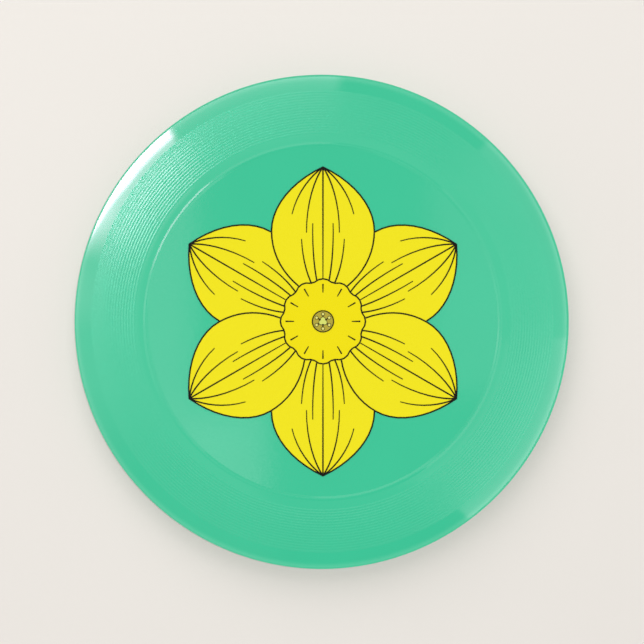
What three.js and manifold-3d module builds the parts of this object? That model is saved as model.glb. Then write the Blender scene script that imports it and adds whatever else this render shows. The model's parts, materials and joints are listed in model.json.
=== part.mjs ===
// A moulded flying disc with a printed daffodil. Millimetres, +Z up, resting on its rim at z = 0.
import * as THREE from 'three';
import { mergeVertices } from 'three/addons/utils/BufferGeometryUtils.js';
import Module from 'manifold-3d';

const wasm = await Module();
wasm.setup();

// disc shell
const OUTER_R = 120.65;          // half of a 9.5 inch disc
const PLATE_Z = 27;              // top of the flat flight plate
const PLATE_T = 1.6;             // wall of the flight plate
const SHOULDER_T = 2.2;          // wall where the shoulder meets the rim
const BEAD_R = 86.2;             // raised bead round the flight plate
const BEAD_W = 2.5;
const BEAD_H = 0.3;
const SHOULDER_R = 87.7;         // the shoulder starts to fall here
const SHOULDER_RHO = 76.6;       // its radius of curvature in section
const SHOULDER_SLOPE = 4;        // degrees, where it starts
const RIB_COUNT = 16;            // flight ribs on the shoulder
const RIB_FIRST_R = 91.9;
const RIB_PITCH = 1.336;
const RIB_H = 0.16;              // peak to valley
const RIM_R = 119.55;            // where the smooth rim ends and the rolled edge starts
const RIM_SLOPE = 45;            // degrees, there
const INNER_R = 117.1;           // inner wall of the rim
const LAND_R = [117.9, 119.1];   // flat ring the disc rests on
const GATE_R = 3.5;              // moulding gate mark under the plate
const SEGMENTS = 64;

// print: each ink layer is 0.1 mm thick here so that it is a solid of its own
const INK = 0.1;
const FILL_Z = PLATE_Z;          // coloured areas lie on the plate
const LINE_Z = FILL_Z + INK;     // outlines and veins lie on the coloured areas
const TOP_Z = LINE_Z + INK;      // pistil outline lies on the centre's own colour
const LINE_W = 0.7;
const GAP = 0.1;                 // bare strip between areas of ink, hidden under an outline
const PETAL_TIP = 75;
const PETAL_HALF_W = 25;         // widest at PETAL_WIDE_R from the centre
const PETAL_WIDE_R = 44;
const VEIN_STEPS = 8;
const TIP_VEINS = [[0.32, 0.44], [0.64, 0.56]];   // share of the half width, and where the vein stops
const BASE_VEINS = [[0.2, 0.5], [0.42, 0.4]];
const CORONA_R = [18.7, 20.7];   // valley and crest of the scalloped trumpet
const SCALLOPS = 12;
const FOLD_R = [14, 18.2];       // radial fold lines inside the scallops
const CENTRE_R = 5.15;
const LOBE_R = 1.05;             // stigma lobes and where they sit
const LOBE_AT = 0.95;
const ANTHERS = 6;
const ANTHER_R = 0.62;
const ANTHER_AT = 3.55;

const MATERIALS = {
  shell: { color: 0x4cc89c, roughness: 0.2, metalness: 0 },
  petal: { color: 0xf2e92a, roughness: 0.4, metalness: 0 },
  corona: { color: 0xf5e61c, roughness: 0.4, metalness: 0 },
  line: { color: 0x241f10, roughness: 0.4, metalness: 0 },
  centre: { color: 0xc4b84a, roughness: 0.4, metalness: 0 },
  stigma: { color: 0xe6f182, roughness: 0.4, metalness: 0 },
  anther: { color: 0xf3f08a, roughness: 0.4, metalness: 0 },
};

const rad = (degrees) => degrees * Math.PI / 180;
const v2 = (x, y) => new THREE.Vector2(x, y);

// ---- solids ----

function toSolid(geometry) {
  const bare = new THREE.BufferGeometry();
  bare.setAttribute('position', geometry.getAttribute('position'));
  bare.setIndex(geometry.index);
  const welded = mergeVertices(bare, 1e-4);
  const index = welded.index.array;
  const triangles = [];
  for (let i = 0; i < index.length; i += 3) {
    const [a, b, c] = [index[i], index[i + 1], index[i + 2]];
    if (a !== b && b !== c && c !== a) triangles.push(a, b, c);
  }
  return new wasm.Manifold(new wasm.Mesh({
    numProp: 3,
    vertProperties: new Float32Array(welded.getAttribute('position').array),
    triVerts: new Uint32Array(triangles),
  }));
}

function toGeometry(solid) {
  const mesh = solid.getMesh();
  const geometry = new THREE.BufferGeometry();
  geometry.setAttribute('position', new THREE.BufferAttribute(new Float32Array(mesh.vertProperties), 3));
  geometry.setIndex(new THREE.BufferAttribute(new Uint32Array(mesh.triVerts), 1));
  geometry.computeVertexNormals();
  return geometry;
}

const union = (solids) => solids.reduce((a, b) => a.add(b));
const cut = (solid, tools) => tools.reduce((a, b) => a.subtract(b), solid);

// a flat layer of ink: closed outline, optional hole, bottom height and thickness
function layer(outline, z, hole, thickness = INK) {
  const shape = new THREE.Shape(outline);
  if (hole) shape.holes.push(new THREE.Path(hole));
  const geometry = new THREE.ExtrudeGeometry(shape, { depth: thickness, bevelEnabled: false });
  geometry.translate(0, 0, z);
  return toSolid(geometry);
}

// a cutting tool that runs well through every layer of ink
const blade = (outline) => layer(outline, PLATE_Z - 1, null, 3);

// ---- outlines ----

// moves every point of a polyline sideways, to its right, by a distance
function offset(points, distance, closed) {
  const n = points.length;
  return points.map((p, i) => {
    const before = points[closed ? (i + n - 1) % n : Math.max(i - 1, 0)];
    const after = points[closed ? (i + 1) % n : Math.min(i + 1, n - 1)];
    const a = p.clone().sub(before).normalize();
    const b = after.clone().sub(p).normalize();
    const u = a.lengthSq() ? a : b;
    const v = b.lengthSq() ? b : a;
    const side = v2(u.y + v.y, -u.x - v.x).divideScalar(1 + u.dot(v));
    return p.clone().addScaledVector(side, distance);
  });
}

const turn = (points, degrees) => points.map((p) => p.clone().rotateAround(v2(0, 0), rad(degrees)));

function circle(r, x = 0, y = 0, segments = 24) {
  return new THREE.EllipseCurve(x, y, r, r, 0, 2 * Math.PI).getPoints(segments).slice(0, -1);
}

const polar = (r, degrees) => [r * Math.cos(rad(degrees)), r * Math.sin(rad(degrees))];

const petalAngle = (k) => 90 - 60 * k;
const inFront = (k) => k % 2 === 0;

// half a petal's edge from its base to its pointed tip, along +X with the width in Y
function petalEdge() {
  const wide = v2(PETAL_WIDE_R, PETAL_HALF_W);
  const edge = new THREE.CurvePath();
  edge.add(new THREE.CubicBezierCurve(v2(15, 9), v2(22, 19), v2(32, PETAL_HALF_W), wide));
  edge.add(new THREE.CubicBezierCurve(wide, v2(56, PETAL_HALF_W), v2(68, 15), v2(PETAL_TIP, 0)));
  return edge;
}

// closed and counter-clockwise
function petalOutline() {
  const left = petalEdge().getPoints(10);
  const right = left.map((p) => v2(p.x, -p.y));
  return [...right, ...left.reverse().slice(1)];
}

function coronaOutline(grow = 0) {
  const points = [];
  const count = SCALLOPS * 5;
  for (let i = 0; i < count; i++) {
    const turnBy = 360 * i / count;
    const wave = Math.abs(Math.cos(rad(SCALLOPS / 2 * turnBy))) ** 0.8;
    const r = CORONA_R[0] + (CORONA_R[1] - CORONA_R[0]) * wave + grow;
    points.push(v2(...polar(r, turnBy)));
  }
  return points;
}

// ---- lines ----

// a stroke along points that narrows to its free end
function stroke(middle, z, width = LINE_W) {
  const halfWidth = (i) => width / 2 * (1 - 0.4 * (i / (middle.length - 1)) ** 2);
  const right = offset(middle, 1, false).map((p, i) => middle[i].clone().lerp(p, halfWidth(i)));
  const left = offset(middle, -1, false).map((p, i) => middle[i].clone().lerp(p, halfWidth(i)));
  return layer([...right, ...left.reverse()], z);
}

// veins on both sides of a petal: each keeps its share of the half width as it follows the edge
function veins(rows, start) {
  const edge = petalEdge();
  return rows.flatMap(([share, stop]) => [share, -share].map((side) => {
    const points = [];
    for (let i = 0; i <= VEIN_STEPS; i++) {
      const p = edge.getPointAt(start + (stop - start) * i / VEIN_STEPS);
      points.push(v2(p.x, p.y * side));
    }
    return stroke(points, LINE_Z);
  }));
}

// ---- sub-parts ----

// points of a falling arc in section: it leaves the last point at slope a0 and ends at slope a1
function fall(points, rho, a0, a1, steps) {
  const start = points[points.length - 1].clone();
  for (let i = 1; i <= steps; i++) {
    const a = rad(a0 + (a1 - a0) * i / steps);
    points.push(v2(start.x + rho * (Math.sin(a) - Math.sin(rad(a0))),
      start.y - rho * (Math.cos(rad(a0)) - Math.cos(a))));
  }
}

// height and slope of the smooth shoulder at a radius
function shoulder(r) {
  const slope = Math.asin(Math.sin(rad(SHOULDER_SLOPE)) + (r - SHOULDER_R) / SHOULDER_RHO);
  const z = PLATE_Z - SHOULDER_RHO * (Math.cos(rad(SHOULDER_SLOPE)) - Math.cos(slope));
  return { slope, z };
}

function topProfile() {
  const points = [v2(0, PLATE_Z), v2(BEAD_R - BEAD_W / 2, PLATE_Z)];
  for (const t of [0.25, 0.5, 0.75]) {
    points.push(v2(BEAD_R + BEAD_W * (t - 0.5), PLATE_Z + BEAD_H * Math.sin(Math.PI * t) ** 1.7));
  }
  const bandR = RIB_FIRST_R - 1.5 * RIB_PITCH;
  points.push(v2(SHOULDER_R, PLATE_Z), v2(bandR, shoulder(bandR).z));
  for (let k = -0.5; k <= RIB_COUNT - 0.5; k += 0.5) {
    const r = RIB_FIRST_R + RIB_PITCH * k;
    const { slope, z } = shoulder(r);
    const rise = Number.isInteger(k) ? RIB_H : 0;
    points.push(v2(r + rise * Math.sin(slope), z + rise * Math.cos(slope)));
  }
  const ribsEnd = points[points.length - 1].x;
  const start = shoulder(ribsEnd).slope;
  const rimRho = (RIM_R - ribsEnd) / (Math.sin(rad(RIM_SLOPE)) - Math.sin(start));
  fall(points, rimRho, THREE.MathUtils.radToDeg(start), RIM_SLOPE, 4);
  const edgeRho = (OUTER_R - RIM_R) / (1 - Math.sin(rad(RIM_SLOPE)));
  fall(points, edgeRho, RIM_SLOPE, 90, 4);
  return points;
}

function wallProfile(top) {
  const wall = new THREE.CubicBezierCurve(top, v2(OUTER_R, 8.2), v2(OUTER_R - 0.7, 4),
    v2(LAND_R[1] + 0.6, 1));
  return [...wall.getPoints(4).slice(1), v2(LAND_R[1] + 0.4, 0.3), v2(LAND_R[1], 0)];
}

function undersideProfile() {
  const points = [v2(LAND_R[0], 0), v2(LAND_R[0] - 0.3, 0.3), v2(INNER_R + 0.4, 1.1), v2(INNER_R, 11)];
  const inner = shoulder(110.5);
  const end = v2(110.5, inner.z - SHOULDER_T / Math.cos(inner.slope));
  const corner = new THREE.CubicBezierCurve(v2(INNER_R, 11), v2(INNER_R, 15.4),
    v2(end.x + 3.4, end.y - 3.4 * Math.tan(inner.slope)), end);
  points.push(...corner.getPoints(5).slice(1));
  for (const r of [104, 97.5, 91]) {
    const share = (r - SHOULDER_R) / (110.5 - SHOULDER_R);
    points.push(v2(r, shoulder(r).z - (PLATE_T + (SHOULDER_T - PLATE_T) * share)));
  }
  points.push(v2(84, PLATE_Z - PLATE_T), v2(GATE_R + 0.4, PLATE_Z - PLATE_T),
    v2(GATE_R, PLATE_Z - PLATE_T - 0.3), v2(0, PLATE_Z - PLATE_T - 0.3));
  return points;
}

function discShell() {
  const top = topProfile();
  const last = top[top.length - 1];
  const profile = [...top, ...wallProfile(last), ...undersideProfile()].reverse();
  const geometry = new THREE.LatheGeometry(profile, SEGMENTS);
  geometry.rotateX(Math.PI / 2);
  return toSolid(geometry);
}

// grown outlines of the two petals that lie over a back petal
function petalsOver(k, grow) {
  if (inFront(k)) return [];
  return [k - 1, k + 1].map((j) => blade(turn(offset(petalOutline(), grow, true), petalAngle(j))));
}

function petalInk(k) {
  const whole = layer(turn(petalOutline(), petalAngle(k)), FILL_Z);
  return cut(whole, [...petalsOver(k, GAP), blade(coronaOutline(GAP))]);
}

// a petal's outline, its middle vein and the veins that start at its tip
function petalLines(k) {
  const outline = petalOutline();
  const edge = layer(offset(outline, LINE_W / 2, true), LINE_Z, offset(outline, -LINE_W / 2, true));
  const middle = stroke([v2(PETAL_TIP, 0), v2(47, 0), v2(19, 0)], LINE_Z);
  const inner = union([middle, ...veins(TIP_VEINS, 1)]).intersect(blade(outline));
  const whole = edge.add(inner).rotate([0, 0, petalAngle(k)]);
  const clear = LINE_W / 2 + GAP;
  return cut(whole, [...petalsOver(k, clear), blade(coronaOutline(clear))]);
}

const coronaInk = () => layer(coronaOutline(), FILL_Z);

// the trumpet's scalloped edge with the veins that run out from it over the petals
function coronaLines() {
  const edge = layer(coronaOutline(LINE_W / 2), LINE_Z, coronaOutline(-LINE_W / 2));
  const inside = blade(coronaOutline(-LINE_W / 4));
  const fans = [];
  for (let k = 0; k < 6; k++) {
    const fan = union(veins(BASE_VEINS, 0)).rotate([0, 0, petalAngle(k)]);
    fans.push(cut(fan, [inside, ...petalsOver(k, LINE_W / 2 + GAP)]));
  }
  return union([edge, ...fans]);
}

// a short radial fold line inside one scallop
function foldStroke(k) {
  return stroke(turn([v2(FOLD_R[1], 0), v2(FOLD_R[0], 0)], 90 - 360 / SCALLOPS * k), LINE_Z);
}

const centreInk = () => layer(circle(CENTRE_R, 0, 0, 40), LINE_Z);
const centreRing = () => layer(circle(CENTRE_R + 0.25, 0, 0, 40), TOP_Z, circle(CENTRE_R - 0.25, 0, 0, 40));

function trefoil(grow, z) {
  return union([90, 210, 330].map((a) => layer(circle(LOBE_R + grow, ...polar(LOBE_AT, a)), z)));
}

const antherAngle = (k) => 90 - 360 / ANTHERS * k;
const anther = (k, grow, z) => layer(circle(ANTHER_R + grow, ...polar(ANTHER_AT, antherAngle(k)), 16), z);
const filament = (k) => stroke(turn([v2(0, 0), v2(ANTHER_AT, 0)], antherAngle(k)), TOP_Z);

// dark outline of the stigma and the anthers, with the filaments between them
function pistilLines() {
  const stamens = Array.from({ length: ANTHERS }, (_, k) => filament(k).add(anther(k, 0.25, TOP_Z)));
  return union([trefoil(0.25, TOP_Z), ...stamens]);
}

// ---- assembly ----

const part = new THREE.Group();
part.name = 'flying_disc';

function add(name, finish, solid) {
  const mesh = new THREE.Mesh(toGeometry(solid), new THREE.MeshStandardMaterial(MATERIALS[finish]));
  mesh.name = name;
  part.add(mesh);
}

add('disc_shell', 'shell', discShell());
for (let k = 0; k < 6; k++) add(`petal_ink_${k + 1}`, 'petal', petalInk(k));
for (let k = 0; k < 6; k++) add(`petal_lines_${k + 1}`, 'line', petalLines(k));
add('corona_ink', 'corona', coronaInk());
add('corona_lines', 'line', coronaLines());
for (let k = 0; k < SCALLOPS; k++) add(`fold_stroke_${k + 1}`, 'line', foldStroke(k));
add('centre_ink', 'centre', centreInk());
add('centre_ring_line', 'line', centreRing());
add('pistil_lines', 'line', pistilLines());
add('stigma_ink', 'stigma', trefoil(0, TOP_Z + INK));
for (let k = 0; k < ANTHERS; k++) add(`anther_ink_${k + 1}`, 'anther', anther(k, 0, TOP_Z + INK));

export default part;
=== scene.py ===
"""Looks for a moulded flying disc with a printed daffodil.

Objects are in metres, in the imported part's frame: +Z up out of the print, +Y along its top petal.
"""

import json
import math

import bpy
from mathutils import Matrix, Vector


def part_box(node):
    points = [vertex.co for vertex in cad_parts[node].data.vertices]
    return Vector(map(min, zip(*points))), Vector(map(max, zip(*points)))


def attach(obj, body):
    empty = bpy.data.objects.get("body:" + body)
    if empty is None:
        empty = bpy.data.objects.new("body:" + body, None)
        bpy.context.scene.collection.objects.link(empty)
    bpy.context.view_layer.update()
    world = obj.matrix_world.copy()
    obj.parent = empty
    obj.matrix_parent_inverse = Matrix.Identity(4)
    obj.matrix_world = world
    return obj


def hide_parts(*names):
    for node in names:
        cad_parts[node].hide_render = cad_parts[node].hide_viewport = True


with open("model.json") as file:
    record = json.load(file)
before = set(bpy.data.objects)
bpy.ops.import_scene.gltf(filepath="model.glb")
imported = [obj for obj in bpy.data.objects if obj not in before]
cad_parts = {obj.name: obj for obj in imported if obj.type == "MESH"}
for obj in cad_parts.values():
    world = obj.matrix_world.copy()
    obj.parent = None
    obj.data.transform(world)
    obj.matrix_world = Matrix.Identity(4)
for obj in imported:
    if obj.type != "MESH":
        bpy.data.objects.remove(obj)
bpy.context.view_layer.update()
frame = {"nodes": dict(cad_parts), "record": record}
MM = 0.001

# ---- the moulding's section, in mm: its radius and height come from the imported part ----

SHELL_LOW, SHELL_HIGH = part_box("disc_shell")
INK_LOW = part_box("petal_ink_1")[0]
OUTER_R = (SHELL_HIGH[0] - SHELL_LOW[0]) / 2 / MM
PLATE_Z = INK_LOW[2] / MM
BEAD_H = SHELL_HIGH[2] / MM - PLATE_Z
PLATE_T = 1.6                    # wall of the flat plate
SHOULDER_T = 2.2                 # wall where the shoulder meets the rim
BEAD_R, BEAD_W = 86.2, 2.5       # raised bead round the plate
SHOULDER_R = 87.7                # the shoulder starts to fall here
SHOULDER_RHO = 76.6              # its radius of curvature in section
SHOULDER_SLOPE = math.radians(4)
RIB_COUNT = 16                   # flight ribs
RIB_FIRST_R = 91.9
RIB_PITCH = 1.336
RIB_H = 0.12                     # rounded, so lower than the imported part's sharp ridges
RIM_R = 120.1                    # the rim's rounding tightens here
RIM_SLOPE = math.radians(45)     # its slope there
LAND_R = (117.9, 119.1)          # flat ring the disc rests on
INNER_R = 117.1                  # inner wall of the rim
CORNER_R = 110.5                 # the inner corner ends here
PLATE_UNDER_R = 83.5             # the plate's flat underside ends here
GATE_R, GATE_H = 3.5, 0.3        # round gate mark under the plate
OVERLAP = (0.05, 0.5)            # the shoulder starts this far in under the plate's edge, and down
BEAD_CURVE = 1.7                 # above 1, so that the bead's feet run out smoothly
BAND_R = (88.6, 89.6, 90.6, 91.2)    # points on the smooth band between the bead and the ribs

SEGMENTS = 288
BEAD_STEPS = 20
RIB_STEPS = 12
RIBS_FROM = RIB_FIRST_R - RIB_PITCH / 2
RIBS_TO = RIBS_FROM + RIB_COUNT * RIB_PITCH


def shoulder(r):
    """Height and slope of the smooth shoulder at radius r."""
    slope = math.asin(math.sin(SHOULDER_SLOPE) + (r - SHOULDER_R) / SHOULDER_RHO)
    return PLATE_Z - SHOULDER_RHO * (math.cos(SHOULDER_SLOPE) - math.cos(slope)), slope


def fall(points, rho, start, end, steps):
    """Appends an arc in section that leaves the last point at one slope and ends at another."""
    r0, z0 = points[-1]
    for i in range(1, steps + 1):
        a = start + (end - start) * i / steps
        r = r0 + rho * (math.sin(a) - math.sin(start))
        points.append((r, z0 - rho * (math.cos(start) - math.cos(a))))


def bezier(p0, p1, p2, p3, steps):
    """Points after p0 on a cubic Bezier curve."""
    out = []
    for i in range(1, steps + 1):
        t = i / steps
        w = ((1 - t) ** 3, 3 * t * (1 - t) ** 2, 3 * t * t * (1 - t), t**3)
        out.append(tuple(sum(k * p[j] for k, p in zip(w, (p0, p1, p2, p3))) for j in (0, 1)))
    return out


def shoulder_profile():
    """From inside the plate's edge over the bead, the smooth band and the flight ribs."""
    points = [(BEAD_R - BEAD_W / 2 - OVERLAP[0], PLATE_Z - OVERLAP[1])]
    for i in range(BEAD_STEPS + 1):
        t = i / BEAD_STEPS
        rise = BEAD_H * math.sin(math.pi * t) ** BEAD_CURVE
        points.append((BEAD_R + BEAD_W * (t - 0.5), PLATE_Z + rise))
    points += [(r, shoulder(r)[0]) for r in BAND_R]
    for i in range(RIB_COUNT * RIB_STEPS + 1):
        r = RIBS_FROM + RIB_PITCH * i / RIB_STEPS
        z, slope = shoulder(r)
        rise = RIB_H * (0.5 - 0.5 * math.cos(2 * math.pi * i / RIB_STEPS))
        points.append((r + rise * math.sin(slope), z + rise * math.cos(slope)))
    return points


def rim_profile(points):
    """Goes on from the last rib over the rounded rim to its edge."""
    start = shoulder(points[-1][0])[1]
    rim_rho = (RIM_R - points[-1][0]) / (math.sin(RIM_SLOPE) - math.sin(start))
    fall(points, rim_rho, start, RIM_SLOPE, 20)
    edge_rho = (OUTER_R - RIM_R) / (1 - math.sin(RIM_SLOPE))
    fall(points, edge_rho, RIM_SLOPE, math.pi / 2, 16)
    return points


def wall_profile(top):
    """From the edge down the outer wall to the ring that the disc rests on."""
    land = LAND_R[1]
    wall = bezier(top, (OUTER_R, 8.2), (OUTER_R - 0.7, 4), (land + 0.6, 1), 14)
    return wall + bezier(wall[-1], (land + 0.5, 0.35), (land + 0.35, 0), (land, 0), 5)


def inside_profile():
    """From the ring that the disc rests on up the inner wall to the shoulder's underside."""
    land = LAND_R[0]
    points = [((land + LAND_R[1]) / 2, 0.0), (land, 0.0)]
    points += bezier((land, 0), (land - 0.25, 0), (INNER_R + 0.45, 0.4), (INNER_R + 0.4, 1.1), 5)
    points += [(INNER_R + 0.2, 5.0), (INNER_R, 11.0)]
    z, slope = shoulder(CORNER_R)
    end = (CORNER_R, z - SHOULDER_T / math.cos(slope))
    pull = 3.4
    before = (end[0] + pull, end[1] - pull * math.tan(slope))
    return points + bezier(points[-1], (INNER_R, 15.4), before, end, 18)


def shoulder_underside(points):
    """Goes on inwards from the inner corner to the plate's flat underside."""
    steps, end_r = 14, 88.5
    for i in range(1, steps + 1):
        r = CORNER_R - (CORNER_R - end_r) * i / steps
        share = (r - SHOULDER_R) / (CORNER_R - SHOULDER_R)
        points.append((r, shoulder(r)[0] - PLATE_T - (SHOULDER_T - PLATE_T) * share))
    under, z = PLATE_Z - PLATE_T, points[-1][1]
    return points + bezier(points[-1], (86.5, z + 0.12), (85.5, under), (PLATE_UNDER_R, under), 6)


def plate_profile(top):
    """The flat plate's top at these radii, then its underside with the round gate mark."""
    under = PLATE_Z - PLATE_T
    gate = under - GATE_H
    points = [(r, PLATE_Z) for r in top]
    points += [(r, under) for r in (PLATE_UNDER_R, 70, 40, GATE_R + 1.2)]
    points += bezier(points[-1], (GATE_R + 0.4, under), (GATE_R + 0.3, gate), (GATE_R - 0.3, gate), 6)
    return points + [(0.0, gate)]


def lathe(name, profile, segments):
    """A body of revolution. Its section starts and ends on the axis, or goes round a closed ring."""
    verts, rings = [], []
    for r, z in profile:
        if r == 0:
            rings.append([len(verts)] * segments)
            verts.append((0, 0, z * MM))
            continue
        rings.append(list(range(len(verts), len(verts) + segments)))
        for k in range(segments):
            a = 2 * math.pi * k / segments
            verts.append((r * MM * math.cos(a), r * MM * math.sin(a), z * MM))
    faces = []
    closing = rings[:1] if profile[0][0] else []
    for upper, lower in zip(rings, rings[1:] + closing):
        for k in range(segments):
            n = (k + 1) % segments
            face = [upper[k], lower[k], lower[n], upper[n]]
            faces.append([v for i, v in enumerate(face) if v != face[i - 1]])
    mesh = bpy.data.meshes.new(name)
    mesh.from_pydata(verts, [], faces)
    mesh.shade_smooth()
    mesh.set_sharp_from_angle(angle=math.radians(50))
    obj = bpy.data.objects.new(name, mesh)
    bpy.context.collection.objects.link(obj)
    return obj


# ---- materials ----

MINT = (0.039, 0.617, 0.344)
PEEL = 0.000004                  # depth of the glossy top's orange peel, in metres
INK_RELIEF = 0.000004
INK_ROUGHNESS = 0.3


def new_material(name, roughness, ior=1.5):
    """A material, its nodes and links, its shader, and the object's own coordinates for noise."""
    material = bpy.data.materials.new(name)
    material.use_nodes = True
    nodes, links = material.node_tree.nodes, material.node_tree.links
    shader = nodes["Principled BSDF"]
    shader.inputs["Roughness"].default_value = roughness
    shader.inputs["IOR"].default_value = ior
    coords = nodes.new("ShaderNodeTexCoord")
    return material, nodes, links, shader, coords.outputs["Object"]


def noise(nodes, links, at, scale, detail=2.0):
    node = nodes.new("ShaderNodeTexNoise")
    node.inputs["Scale"].default_value = scale
    node.inputs["Detail"].default_value = detail
    links.new(at, node.inputs["Vector"])
    return node.outputs["Fac"]


def spread(nodes, links, value, low, high):
    """A 0 to 1 value spread over a range."""
    node = nodes.new("ShaderNodeMapRange")
    node.inputs["To Min"].default_value = low
    node.inputs["To Max"].default_value = high
    links.new(value, node.inputs["Value"])
    return node.outputs["Result"]


def mix_colour(nodes, links, value, first, second):
    node = nodes.new("ShaderNodeMix")
    node.data_type = "RGBA"
    node.inputs["A"].default_value = (*first, 1)
    node.inputs["B"].default_value = (*second, 1)
    links.new(value, node.inputs["Factor"])
    return node.outputs["Result"]


def bump(nodes, links, height, distance, under=None):
    node = nodes.new("ShaderNodeBump")
    node.inputs["Strength"].default_value = 1.0
    node.inputs["Distance"].default_value = distance
    links.new(height, node.inputs["Height"])
    if under:
        links.new(under, node.inputs["Normal"])
    return node.outputs["Normal"]


def shade(colour, factor):
    return tuple(min(c * factor, 1.0) for c in colour)


def vary_colour(nodes, links, shader, value, colour, amount):
    """Lets a 0 to 1 value darken and lighten the colour by an amount."""
    mixed = mix_colour(nodes, links, value, shade(colour, 1 - amount), shade(colour, 1 + amount))
    links.new(mixed, shader.inputs["Base Color"])


def vary_roughness(nodes, links, shader, value, low, high):
    links.new(spread(nodes, links, value, low, high), shader.inputs["Roughness"])


def plastic(name, colour, roughness, peel):
    """Moulded polyethylene: clouded colour, a mottled gloss and orange peel of this depth."""
    material, nodes, links, shader, at = new_material(name, roughness, 1.51)
    clouds = noise(nodes, links, at, 28, 4)
    vary_colour(nodes, links, shader, clouds, colour, 0.03)
    mottle = noise(nodes, links, at, 90, 1)
    vary_roughness(nodes, links, shader, mottle, roughness * 0.9, roughness * 1.12)
    ripple = bump(nodes, links, noise(nodes, links, at, 260, 1), peel)
    fine = bump(nodes, links, noise(nodes, links, at, 2200, 2), peel * 0.1, ripple)
    links.new(fine, shader.inputs["Normal"])
    return material


def ink(name, colour):
    """Dry ink on the plate: print grain in the colour, and a slightly uneven film."""
    material, nodes, links, shader, at = new_material(name, INK_ROUGHNESS)
    shader.inputs["Specular IOR Level"].default_value = 0.13
    grain = noise(nodes, links, at, 1500, 3)
    vary_colour(nodes, links, shader, grain, colour, 0.04)
    film = noise(nodes, links, at, 500, 3)
    vary_roughness(nodes, links, shader, film, INK_ROUGHNESS * 0.85, INK_ROUGHNESS * 1.2)
    dimples = bump(nodes, links, noise(nodes, links, at, 1800, 2), INK_RELIEF)
    links.new(dimples, shader.inputs["Normal"])
    return material


TOP_PLASTIC = plastic("mint_plastic", MINT, 0.06, PEEL)
RIB_PLASTIC = plastic("mint_plastic_ribs", MINT, 0.23, PEEL)
# painted shade: the underside's colour is the top's mint darkened by 3%. It is also rougher, with deeper
# orange peel
UNDER_PLASTIC = plastic("mint_plastic_underside", shade(MINT, 0.97), 0.3, 5 * PEEL)
INKS = {
    "petal_ink": ink("yellow_ink", (0.97, 0.86, 0.01)),
    "corona_ink": ink("deep_yellow_ink", (0.97, 0.83, 0.001)),
    "line_ink": ink("black_ink", (0.006, 0.005, 0.002)),
    "centre_ink": ink("olive_ink", (0.5, 0.42, 0.05)),
    "stigma_ink": ink("pale_green_ink", (0.74, 0.82, 0.18)),
    "anther_ink": ink("pale_yellow_ink", (0.84, 0.81, 0.22)),
}

# ---- the object ----

SHELL_PLASTICS = [TOP_PLASTIC, UNDER_PLASTIC, RIB_PLASTIC]


def moulded(name, section, top_rings):
    """Plate, shoulder or rim. This many rings of the section, from its start, are the outside."""
    body = lathe(name, section, SEGMENTS)
    for material in SHELL_PLASTICS:
        body.data.materials.append(material)
    for index, face in enumerate(body.data.polygons):
        ring = index // SEGMENTS
        middle = (section[ring][0] + section[(ring + 1) % len(section)][0]) / 2
        # faces that are not on the outside get the underside plastic, with its painted shade
        finish = UNDER_PLASTIC
        if ring < top_rings:
            finish = RIB_PLASTIC if RIBS_FROM < middle < RIBS_TO else TOP_PLASTIC
        face.material_index = SHELL_PLASTICS.index(finish)
    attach(body, "root")
    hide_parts("disc_shell")
    return body


# the one moulding is three bodies that meet inside it, so that each can have its own lights
plate_radii = (0.0, 30, 55, 70, 80, 83, BEAD_R)
moulded("flight_plate", plate_profile(plate_radii), len(plate_radii) - 1)
ribbed_top = shoulder_profile()
inside = inside_profile()
underside = shoulder_underside(inside[-1:])
shoulder_ring = moulded("shoulder", ribbed_top + underside, len(ribbed_top) - 1)
outside = rim_profile(ribbed_top[-1:])
outside += wall_profile(outside[-1])
rim = moulded("rim", outside + inside, len(outside))

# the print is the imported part's own solids
for subpart in frame["record"]["subparts"]:
    if subpart["material_slot"] in INKS:
        materials = frame["nodes"][subpart["node"]].data.materials
        materials.clear()
        materials.append(INKS[subpart["material_slot"]])

# ---- floor ----

FLOOR_HALF = 3.0
FLOOR_COLOUR = (0.2, 0.191, 0.18)    # its own lights make it look pale
corners = [(x * FLOOR_HALF, y * FLOOR_HALF, 0) for x, y in ((-1, -1), (1, -1), (1, 1), (-1, 1))]
floor_mesh = bpy.data.meshes.new("floor")
floor_mesh.from_pydata(corners, [], [(0, 1, 2, 3)])
floor = bpy.data.objects.new("floor", floor_mesh)
bpy.context.collection.objects.link(floor)
paper, nodes, links, shader, at = new_material("pale_floor", 0.7)
vary_colour(nodes, links, shader, noise(nodes, links, at, 6, 3), FLOOR_COLOUR, 0.015)
shader.inputs["Specular IOR Level"].default_value = 0.0
floor_mesh.materials.append(paper)

# ---- camera ----

CAMERA_FROM = Vector((-0.034, -0.013, 0.9993)).normalized()
CAMERA_DISTANCE = 3.0
FRAME_WIDTH = 0.31439
AIM = Vector((0.00001, -0.00012, 0.0133))
CAMERA_AT = AIM + CAMERA_FROM * CAMERA_DISTANCE

camera = bpy.data.cameras.new("camera")
camera.sensor_width = 36
camera.lens = camera.sensor_width * CAMERA_DISTANCE / FRAME_WIDTH
camera.clip_end = 50
camera_object = bpy.data.objects.new("camera", camera)
camera_object.location = CAMERA_AT
right = Vector((0, 1, 0)).cross(CAMERA_FROM).normalized()
up = CAMERA_FROM.cross(right)
camera_object.rotation_euler = Matrix((right, up, CAMERA_FROM)).transposed().to_euler()
bpy.context.collection.objects.link(camera_object)
bpy.context.scene.camera = camera_object

# ---- light by direction: angles in degrees from the disc, azimuth anticlockwise from +X ----

BOTTOM_SOFT = 2                      # softness of a patch's lower edge
SIDE_FROM, SIDE_SOFT = 0.035, 0.06   # where a light that falls on one side ends, in metres from the axis


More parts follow.
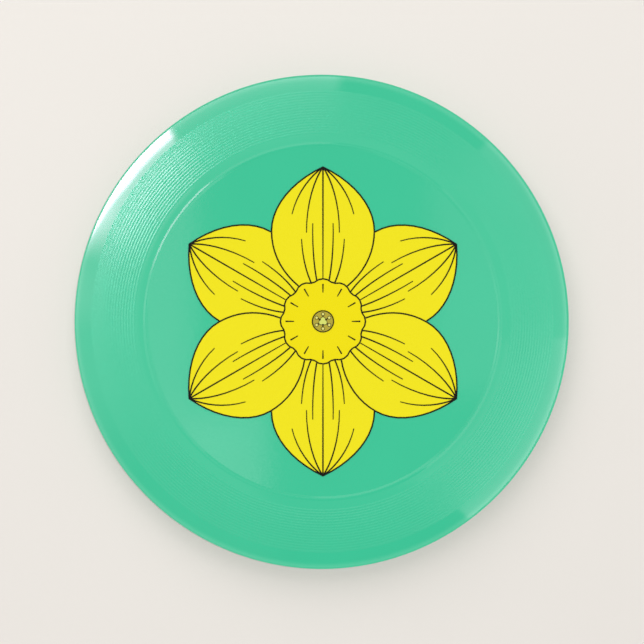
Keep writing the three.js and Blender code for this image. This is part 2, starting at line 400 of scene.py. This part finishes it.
class Direction:
    """Nodes in a world's or a light's tree that work with azimuth and elevation."""

    def __init__(self, tree, vector):
        self.tree = tree
        normalised = tree.nodes.new("ShaderNodeVectorMath")
        normalised.operation = "NORMALIZE"
        tree.links.new(vector, normalised.inputs[0])
        self.x, self.y, z = self.split(normalised.outputs["Vector"])
        self.elevation = self.math("DEGREES", self.math("ARCSINE", z))

    def split(self, vector):
        node = self.tree.nodes.new("ShaderNodeSeparateXYZ")
        self.tree.links.new(vector, node.inputs["Vector"])
        return [node.outputs[axis] for axis in "XYZ"]

    def math(self, operation, *values):
        node = self.tree.nodes.new("ShaderNodeMath")
        node.operation = operation
        for socket, value in zip(node.inputs, values):
            if isinstance(value, (int, float)):
                socket.default_value = value
            else:
                self.tree.links.new(value, socket)
        return node.outputs["Value"]

    def step(self, value, edge, soft, before, after):
        """Goes smoothly from one value to another across an edge."""
        node = self.tree.nodes.new("ShaderNodeMapRange")
        node.interpolation_type = "SMOOTHSTEP"
        for name, number in (("From Min", edge - soft / 2), ("From Max", edge + soft / 2),
                             ("To Min", before), ("To Max", after)):
            node.inputs[name].default_value = number
        self.tree.links.new(value, node.inputs["Value"])
        return node.outputs["Result"]

    def around(self, azimuth):
        """Degrees round from an azimuth, -180 to 180."""
        along = self.along(self.x, self.y, azimuth)
        across = self.along(self.x, self.y, azimuth + 90)
        return self.math("DEGREES", self.math("ARCTAN2", across, along))

    def along(self, x, y, azimuth):
        """How far a point lies out along an azimuth."""
        c, s = math.cos(math.radians(azimuth)), math.sin(math.radians(azimuth))
        return self.math("ADD", self.math("MULTIPLY", x, c), self.math("MULTIPLY", y, s))

    def patch(self, azimuths, elevations, radiance, soft, fade=0, taper=0):
        """Radiance of a patch with soft low-azimuth, high-azimuth and top edges.

        It can fade upwards, over this many degrees, and its top edge can fall as the azimuth grows.
        """
        angle = self.around(sum(azimuths) / 2)
        half = (azimuths[1] - azimuths[0]) / 2
        level = self.step(angle, -half, soft[0], 0, radiance)
        level = self.math("MULTIPLY", level, self.step(angle, half, soft[1], 1, 0))
        bottom = self.step(self.elevation, elevations[0], BOTTOM_SOFT, 0, 1)
        level = self.math("MULTIPLY", level, bottom)
        height = self.elevation
        if taper:
            drop = self.math("MULTIPLY", self.math("MAXIMUM", angle, 0), taper)
            height = self.math("ADD", height, drop)
        level = self.math("MULTIPLY", level, self.step(height, elevations[1], soft[2], 1, 0))
        if fade:
            above = self.math("SUBTRACT", self.elevation, elevations[0])
            dimming = self.math("EXPONENT", self.math("MULTIPLY", above, -1 / fade))
            level = self.math("MULTIPLY", level, dimming)
        return level

    def near_side(self, position, incoming, azimuth):
        """1 where a light's ray meets the half of the disc that faces an azimuth, and 0 beyond it."""
        x, y, z = self.split(position)
        ray_x, ray_y, ray_z = self.split(incoming)
        reach = self.math("DIVIDE", self.math("SUBTRACT", z, PLATE_Z * MM), ray_z)
        hit_x = self.math("SUBTRACT", x, self.math("MULTIPLY", ray_x, reach))
        hit_y = self.math("SUBTRACT", y, self.math("MULTIPLY", ray_y, reach))
        return self.step(self.along(hit_x, hit_y, azimuth), SIDE_FROM, SIDE_SOFT, 0, 1)

    def sky(self):
        """A dim room: lighter near the horizon and high up, dimmer straight above and in front."""
        low = self.step(self.elevation, 9, 16, 0.9, 0)
        high = self.step(self.elevation, 60, 44, 0.6, 1.12)
        high = self.math("MULTIPLY", high, self.step(self.elevation, 84.5, 5, 1, 0.47))
        front = self.step(self.math("ABSOLUTE", self.around(284)), 24, 16, 0.6, 1)
        return self.math("ADD", low, self.math("MULTIPLY", high, front))


# ---- world: the gloss mirrors the sky, everything else is lit by an even dome ----

world = bpy.data.worlds.new("studio")
bpy.context.scene.world = world
world.use_nodes = True
nodes, links = world.node_tree.nodes, world.node_tree.links
dome = nodes["Background"]
dome.inputs["Color"].default_value = (1.0, 0.99, 0.975, 1)
dome.inputs["Strength"].default_value = 0.93
look = Direction(world.node_tree, nodes.new("ShaderNodeTexCoord").outputs["Generated"])
glow = nodes.new("ShaderNodeBackground")
glow.inputs["Color"].default_value = (1, 1, 1, 1)
links.new(look.sky(), glow.inputs["Strength"])
choice = nodes.new("ShaderNodeMixShader")
links.new(nodes.new("ShaderNodeLightPath").outputs["Is Glossy Ray"], choice.inputs["Fac"])
links.new(dome.outputs["Background"], choice.inputs[1])
links.new(glow.outputs["Background"], choice.inputs[2])
links.new(choice.outputs["Shader"], nodes["World Output"].inputs["Surface"])
world.cycles.sampling_method = "NONE"

# ---- lights ----

GLOW = (1.0, 0.82, 0.98)
WINDOW = (1.0, 0.65, 0.92)
OVERHEAD_Z = 1.6


def area_light(name, azimuths, elevations, radiance, distance):
    """A flat area light that covers these azimuths and elevations seen from the disc."""
    middle, tilt = (math.radians(sum(angles) / 2) for angles in (azimuths, elevations))
    side = math.radians(azimuths[1] - azimuths[0]) / 2
    spans = []
    for elevation in map(math.radians, elevations):
        for turn in (0, side):
            ahead, up = math.cos(elevation) * math.cos(turn), math.sin(elevation)
            depth = ahead * math.cos(tilt) + up * math.sin(tilt)
            spans.append((math.cos(elevation) * math.sin(turn) / depth,
                          abs(up * math.cos(tilt) - ahead * math.sin(tilt)) / depth))
    light = bpy.data.lights.new(name, "AREA")
    light.shape = "RECTANGLE"
    light.size, light.size_y = (2 * distance * max(span) for span in zip(*spans))
    light.energy = radiance * math.pi * light.size * light.size_y
    obj = bpy.data.objects.new(name, light)
    level = math.cos(tilt)
    out = Vector((level * math.cos(middle), level * math.sin(middle), math.sin(tilt)))
    obj.location = out * distance
    obj.rotation_euler = out.to_track_quat("Z", "Y").to_euler()
    bpy.context.collection.objects.link(obj)
    return obj


def soft_wall(name, colour, patches, mirrored_by, distance=4.0, side=None):
    """A light of soft-edged patches that only the gloss of these bodies mirrors.

    With a side, only the half of the disc that faces that azimuth mirrors it.
    """
    low = min(azimuths[0] - soft[0] / 2 for azimuths, _, _, soft, *_ in patches)
    high = max(azimuths[1] + soft[1] / 2 for azimuths, _, _, soft, *_ in patches)
    obj = area_light(name, (low, high), (-3, 80), 1, distance)
    obj.visible_diffuse = False
    obj.light_linking.receiver_collection = mirrored_by
    obj.data.color = colour
    obj.data.use_nodes = True
    tree = obj.data.node_tree
    geometry = tree.nodes.new("ShaderNodeNewGeometry")
    look = Direction(tree, geometry.outputs["Position"])
    total = 0.0
    for patch in patches:
        total = look.math("ADD", total, look.patch(*patch))
    if side is not None:
        on_side = look.near_side(geometry.outputs["Position"], geometry.outputs["Incoming"], side)
        total = look.math("MULTIPLY", total, on_side)
    tree.links.new(total, tree.nodes["Emission"].inputs["Strength"])


def overhead(name, middle, size, radiance):
    """A light above the disc that the plate mirrors at this place and size, seen from the camera."""
    reach = (OVERHEAD_Z - PLATE_Z * MM) / (CAMERA_AT.z - PLATE_Z * MM)
    light = bpy.data.lights.new(name, "AREA")
    light.shape = "RECTANGLE"
    light.size, light.size_y = (side * (1 + reach) for side in size)
    light.energy = radiance * math.pi * light.size * light.size_y
    light.color = GLOW
    obj = bpy.data.objects.new(name, light)
    obj.location = (*(middle[i] + (middle[i] - CAMERA_AT[i]) * reach for i in (0, 1)), OVERHEAD_Z)
    obj.visible_diffuse = False
    bpy.context.collection.objects.link(obj)


def receivers(name, *objects):
    """The collection that a light needs to reach only these objects."""
    collection = bpy.data.collections.new(name)
    for obj in objects:
        collection.objects.link(obj)
    return collection


on_rim = receivers("on_rim", rim)
on_shoulder = receivers("on_shoulder", shoulder_ring)
on_ring = receivers("on_ring", shoulder_ring, rim)

# the window: a bright pane low down and a glow that fades up from it. The ribs mirror the glow alone,
# from a light of their own a little further off: two lights in one plane would hide each other.
WINDOW_SIDE = 142
soft_wall("window", WINDOW, [
    ((127, 158.5), (2, 26.5), 13, (1.5, 5, 14), 0, 1.5),
    ((126.5, 158.5), (-3, 75.5), 16, (3, 14, 7), 65),
], on_rim, side=WINDOW_SIDE)
soft_wall("rib_glow", WINDOW, [
    ((126.5, 158.5), (24, 75.5), 20, (3, 14, 7), 27),
], on_shoulder, distance=4.2, side=WINDOW_SIDE)
# the room's other walls
soft_wall("top_wall", GLOW, [((84, 126), (-3, 72), 2.3, (4, 4, 16), 60)], on_ring)
soft_wall("left_wall", GLOW, [
    ((158, 206), (-3, 76), 0.9, (36, 36, 10)),
    ((162, 178), (-3, 72), 0.9, (12, 12, 14)),
], on_ring)
soft_wall("right_wall", GLOW, [((-51.5, -3), (-3, 74), 2.4, (1.5, 1.5, 14), 70)], on_ring)
soft_wall("right_wall_upper", GLOW, [((-3, 46.5), (-3, 66), 1.0, (1.5, 1.5, 16), 150)], on_ring)
# what the flat plate mirrors
overhead("left_strip", (-0.082, 0.01), (0.04, 0.15), 1.2)
overhead("lower_left", (-0.052, -0.066), (0.05, 0.045), 1.6)
overhead("right_side", (0.082, 0.02), (0.06, 0.11), 0.65)

# the floor's own lights: even light from straight above, and a key that throws the shadow
even = bpy.data.objects.new("even_light", bpy.data.lights.new("even_light", "SUN"))
even.data.energy = 2.38 * math.pi
even.data.angle = math.radians(6)
bpy.context.collection.objects.link(even)
key = area_light("key", (90, 130), (22, 80), 5.9, 1.5)
on_floor = receivers("on_floor", floor)
for light in (even, key):
    light.visible_glossy = False
    light.light_linking.receiver_collection = on_floor

# ---- render settings ----

bpy.context.scene.view_settings.view_transform = "Standard"
cycles = bpy.context.scene.cycles
cycles.use_denoising = True
cycles.denoising_input_passes = "RGB"    # with albedo too, the denoiser blurs the ribs' fine highlights
cycles.caustics_reflective = False
cycles.caustics_refractive = False
cycles.sample_clamp_indirect = 2.0
